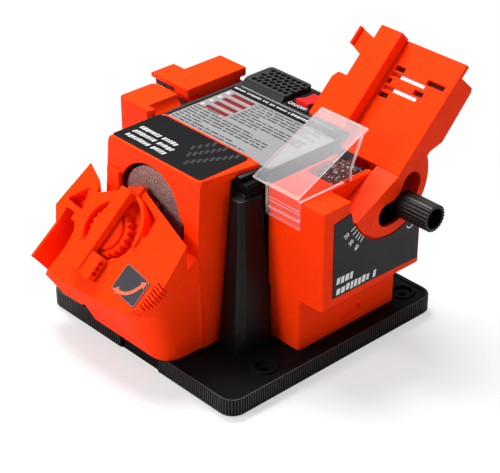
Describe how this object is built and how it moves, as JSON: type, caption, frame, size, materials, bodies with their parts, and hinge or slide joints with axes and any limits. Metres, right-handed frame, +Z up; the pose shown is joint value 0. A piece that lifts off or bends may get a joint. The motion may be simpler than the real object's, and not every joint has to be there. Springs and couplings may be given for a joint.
{
  "type": "electric multipurpose sharpener",
  "caption": "Tabletop electric sharpener on a flat base, with stations for twist drills, for plane irons and chisels, and for knives and scissors around one motor.",
  "frame": {"origin": "point on the bench under the middle of the base plate", "axes": "+X to the plane station's side, +Y to the rear where the inlet is, +Z up; the drill station is at -Y"},
  "size_m": [0.2545, 0.2425, 0.2065],
  "materials": {
    "orange_plastic": "fine moulded texture",
    "black_plastic": "fine moulded texture",
    "panel_grey": "printed film",
    "label_black": "printed film",
    "label_grey": "printed film",
    "red_plastic": "glossy",
    "steel": "turned",
    "motor_iron": "laminated sheet",
    "copper": "enamelled wire and bars",
    "gear_brass": "cut",
    "cast_alloy": "as cast",
    "wheel_grit": "bonded grit",
    "knife_grit": "bonded grit",
    "drum_grit": "bonded grit",
    "clear_plastic": "clear",
    "foot_rubber": "matte",
    "brush_carbon": "pressed carbon",
    "brown_fibre": "phenolic board"
  },
  "bodies": {
    "frame": {"base_plate": "black_plastic", "rubber_feet": "foot_rubber", "base_screws": "steel", "housing": "black_plastic", "top_cover": "black_plastic", "cover_screws": "steel", "instruction_panel": "panel_grey", "switch_body": "black_plastic", "power_inlet": "black_plastic", "bearing_frame": "cast_alloy", "frame_screws": "steel", "shaft_bearings": "steel", "spindle_bearings": "steel", "stator": "motor_iron", "field_coils": "copper", "brush_holders": "brown_fibre", "carbon_brushes": "brush_carbon", "drill_head": "orange_plastic", "drill_label": "label_black", "holder_pin": "steel", "knife_head": "orange_plastic", "knife_guide": "orange_plastic", "guide_screws": "steel", "plane_head": "orange_plastic", "plane_label": "label_black", "lock_stud": "steel"},
    "shaft": {"main_shaft": "steel", "rotor": "motor_iron", "commutator": "copper", "cooling_fan": "black_plastic", "shaft_gear": "gear_brass", "plane_drum": "drum_grit", "drum_nut": "steel", "knife_wheel": "knife_grit", "knife_nut": "steel"},
    "spindle": {"drill_spindle": "steel", "spindle_gear": "gear_brass", "drill_wheel": "wheel_grit", "wheel_nut": "steel"},
    "holder": {"drill_holder": "orange_plastic", "arrow_label": "label_grey"},
    "clamp_wheel": {"clamp_wheel": "orange_plastic"},
    "clamp": {"clamp_bar": "orange_plastic", "clamp_screw": "steel"},
    "table": {"blade_table": "orange_plastic"},
    "fence": {"blade_fence": "orange_plastic"},
    "knob": {"lock_knob": "black_plastic", "lock_washer": "steel"},
    "shield": {"shield": "clear_plastic"},
    "rocker": {"rocker": "red_plastic"}
  },
  "joints": [
    {"name": "shaft_spin", "type": "hinge", "parent": "frame", "child": "shaft", "pos_m": [0, 0.035, 0.1013], "axis": [1, 0, 0], "continuous": true},
    {"name": "spindle_spin", "type": "hinge", "parent": "frame", "child": "spindle", "pos_m": [-0.02, 0, 0.1013], "axis": [0, 1, 0], "continuous": true},
    {"name": "holder_swing", "type": "hinge", "parent": "frame", "child": "holder", "pos_m": [-0.027, -0.08895, 0.07552], "axis": [0, -0.5446, 0.8387], "range_deg": [-5, 8]},
    {"name": "clamp_turn", "type": "hinge", "parent": "holder", "child": "clamp_wheel", "pos_m": [-0.035, -0.09421, 0.08755], "axis": [0, -0.7529, 0.6582], "range_deg": [0, 720]},
    {"name": "clamp_lift", "type": "slide", "parent": "holder", "child": "clamp", "axis": [0, -0.7529, 0.6582], "range_m": [0, 0.003]},
    {"name": "table_tilt", "type": "hinge", "parent": "frame", "child": "table", "pos_m": [0.0526, 0.0394, 0.1307], "axis": [1, 0, 0], "range_deg": [-35, 15]},
    {"name": "fence_slide", "type": "slide", "parent": "table", "child": "fence", "axis": [1, 0, 0], "range_m": [0, 0.03]},
    {"name": "knob_turn", "type": "hinge", "parent": "frame", "child": "knob", "pos_m": [0.108, 0.05144, 0.1135], "axis": [1, 0, 0], "range_deg": [0, 360]},
    {"name": "shield_lift", "type": "slide", "parent": "frame", "child": "shield", "axis": [0, 0, 1], "range_m": [0, 0.014]},
    {"name": "rocker_tip", "type": "hinge", "parent": "frame", "child": "rocker", "pos_m": [-0.009, 0.077, 0.1375], "axis": [1, 0, 0], "range_deg": [0, 16]}
  ],
  "couplings": [
    {"joint": "spindle_spin", "follows": "shaft_spin", "ratio": 1},
    {"joint": "clamp_lift", "follows": "clamp_turn", "m_per_rad": 0.00023873}
  ]
}
